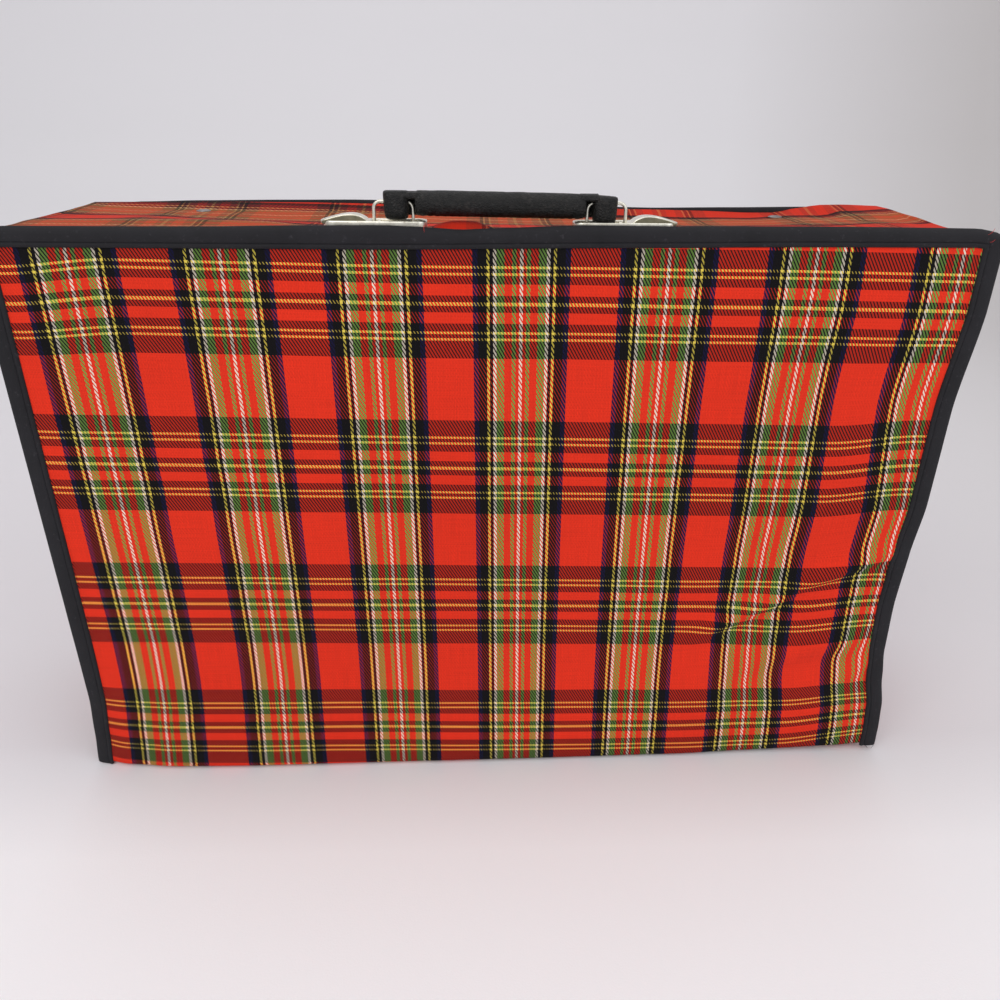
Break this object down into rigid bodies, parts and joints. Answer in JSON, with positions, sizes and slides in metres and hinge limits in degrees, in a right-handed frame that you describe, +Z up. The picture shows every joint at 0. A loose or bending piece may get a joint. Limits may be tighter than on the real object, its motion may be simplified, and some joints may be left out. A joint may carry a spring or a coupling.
{
  "type": "collapsible suitcase",
  "caption": "Upright board-stiffened tartan cloth suitcase with a hinged lid, walls that fold inwards, lift-lever catches and a ringed grip.",
  "frame": {"origin": "middle of the floor that the case stands on", "axes": "+Z up, +X to the viewer's right as the lid is faced, +Y from the lid towards the back"},
  "size_m": [0.5, 0.13, 0.3453],
  "materials": {
    "cloth": "red tartan cotton twill",
    "card": "plain greyboard",
    "lining": "plain lining cloth",
    "tape": "black woven binding tape",
    "vinyl": "grained black vinyl",
    "steel": "aged nickel plating"
  },
  "bodies": {
    "front_frame": {"collar_board": "card", "collar_cloth": "cloth", "hinge_cloth": "cloth", "catch_plate_left": "steel", "catch_plate_right": "steel", "plate_rivets": "steel", "lever_pins": "steel", "lever_spring_left": "steel", "lever_spring_right": "steel", "web_top_left": "cloth", "web_top_right": "cloth", "web_bottom_left": "cloth", "web_bottom_right": "cloth"},
    "lid": {"lid_cloth": "cloth", "lid_board": "card", "lid_lining": "lining", "lid_binding": "tape", "keeper_left": "steel", "keeper_right": "steel", "keeper_rivets": "steel"},
    "back": {"back_cloth": "cloth", "back_board": "card", "back_lining": "lining", "back_binding": "tape"},
    "lever_left": {"lever_left": "steel"},
    "lever_right": {"lever_right": "steel"},
    "ring_left": {"ring_left": "steel"},
    "ring_right": {"ring_right": "steel"},
    "grip": {"grip_cover": "vinyl", "grip_core": "steel"},
    "left_front": {"left_front_board": "card", "left_front_cloth": "cloth"},
    "left_rear": {"left_rear_board": "card", "left_rear_cloth": "cloth"},
    "right_front": {"right_front_board": "card", "right_front_cloth": "cloth"},
    "right_rear": {"right_rear_board": "card", "right_rear_cloth": "cloth"},
    "top_front": {"top_front_board": "card", "top_front_cloth": "cloth"},
    "top_rear": {"top_rear_board": "card", "top_rear_cloth": "cloth", "top_studs": "steel"},
    "bottom_front": {"bottom_front_board": "card", "bottom_front_cloth": "cloth"},
    "bottom_rear": {"bottom_rear_board": "card", "bottom_rear_cloth": "cloth"}
  },
  "joints": [
    {"name": "left_fold", "type": "hinge", "parent": "front_frame", "child": "left_front", "pos_m": [-0.2425, -0.0363, 0.165], "axis": [0, 0, -1], "range_deg": [0, 78]},
    {"name": "left_crease", "type": "hinge", "parent": "left_front", "child": "left_rear", "pos_m": [-0.245, 0.01215, 0.165], "axis": [0, 0, -1], "range_deg": [-156, 0]},
    {"name": "right_fold", "type": "hinge", "parent": "front_frame", "child": "right_front", "pos_m": [0.2425, -0.0363, 0.165], "axis": [0, 0, 1], "range_deg": [0, 78]},
    {"name": "right_crease", "type": "hinge", "parent": "right_front", "child": "right_rear", "pos_m": [0.245, 0.01215, 0.165], "axis": [0, 0, 1], "range_deg": [-156, 0]},
    {"name": "top_fold", "type": "hinge", "parent": "front_frame", "child": "top_front", "pos_m": [0, -0.0363, 0.3245], "axis": [-1, 0, 0], "range_deg": [0, 78]},
    {"name": "top_crease", "type": "hinge", "parent": "top_front", "child": "top_rear", "pos_m": [0, 0.01215, 0.327], "axis": [-1, 0, 0], "range_deg": [-156, 0]},
    {"name": "bottom_fold", "type": "hinge", "parent": "front_frame", "child": "bottom_front", "pos_m": [0, -0.0363, 0.0025], "axis": [1, 0, 0], "range_deg": [0, 78]},
    {"name": "bottom_crease", "type": "hinge", "parent": "bottom_front", "child": "bottom_rear", "pos_m": [0, 0.01215, 0], "axis": [1, 0, 0], "range_deg": [-156, 0]},
    {"name": "back_level", "type": "hinge", "parent": "left_rear", "child": "back", "pos_m": [-0.2425, 0.0606, 0.165], "axis": [0, 0, -1], "range_deg": [0, 78], "deforming": ["web_top_left", "web_top_right", "web_bottom_left", "web_bottom_right"]},
    {"name": "lid_hinge", "type": "hinge", "parent": "front_frame", "child": "lid", "pos_m": [0, -0.065, 0.0008], "axis": [1, 0, 0], "range_deg": [0, 90]},
    {"name": "lever_left_lift", "type": "hinge", "parent": "front_frame", "child": "lever_left", "pos_m": [-0.0644, -0.0522, 0.33088], "axis": [0, 1, 0], "range_deg": [0, 40], "stiffness_Nm_per_rad": 0.02},
    {"name": "lever_right_lift", "type": "hinge", "parent": "front_frame", "child": "lever_right", "pos_m": [0.0644, -0.0522, 0.33088], "axis": [0, -1, 0], "range_deg": [0, 40], "stiffness_Nm_per_rad": 0.02},
    {"name": "ring_left_lean", "type": "hinge", "parent": "front_frame", "child": "ring_left", "pos_m": [-0.05225, -0.0522, 0.3302], "axis": [1, 0, 0], "range_deg": [-18, 12]},
    {"name": "ring_right_lean", "type": "hinge", "parent": "front_frame", "child": "ring_right", "pos_m": [0.05225, -0.0522, 0.3302], "axis": [1, 0, 0], "range_deg": [-18, 12]},
    {"name": "grip_roll", "type": "hinge", "parent": "ring_left", "child": "grip", "pos_m": [-0.05225, -0.0522, 0.3406], "axis": [1, 0, 0], "range_deg": [-20, 20]}
  ],
  "couplings": [
    {"joint": "left_fold", "follows": "back_level", "ratio": 1},
    {"joint": "left_crease", "follows": "back_level", "ratio": -2},
    {"joint": "right_fold", "follows": "back_level", "ratio": 1},
    {"joint": "right_crease", "follows": "back_level", "ratio": -2},
    {"joint": "top_fold", "follows": "back_level", "ratio": 1},
    {"joint": "top_crease", "follows": "back_level", "ratio": -2},
    {"joint": "bottom_fold", "follows": "back_level", "ratio": 1},
    {"joint": "bottom_crease", "follows": "back_level", "ratio": -2},
    {"joint": "ring_right_lean", "follows": "ring_left_lean", "ratio": 1}
  ]
}
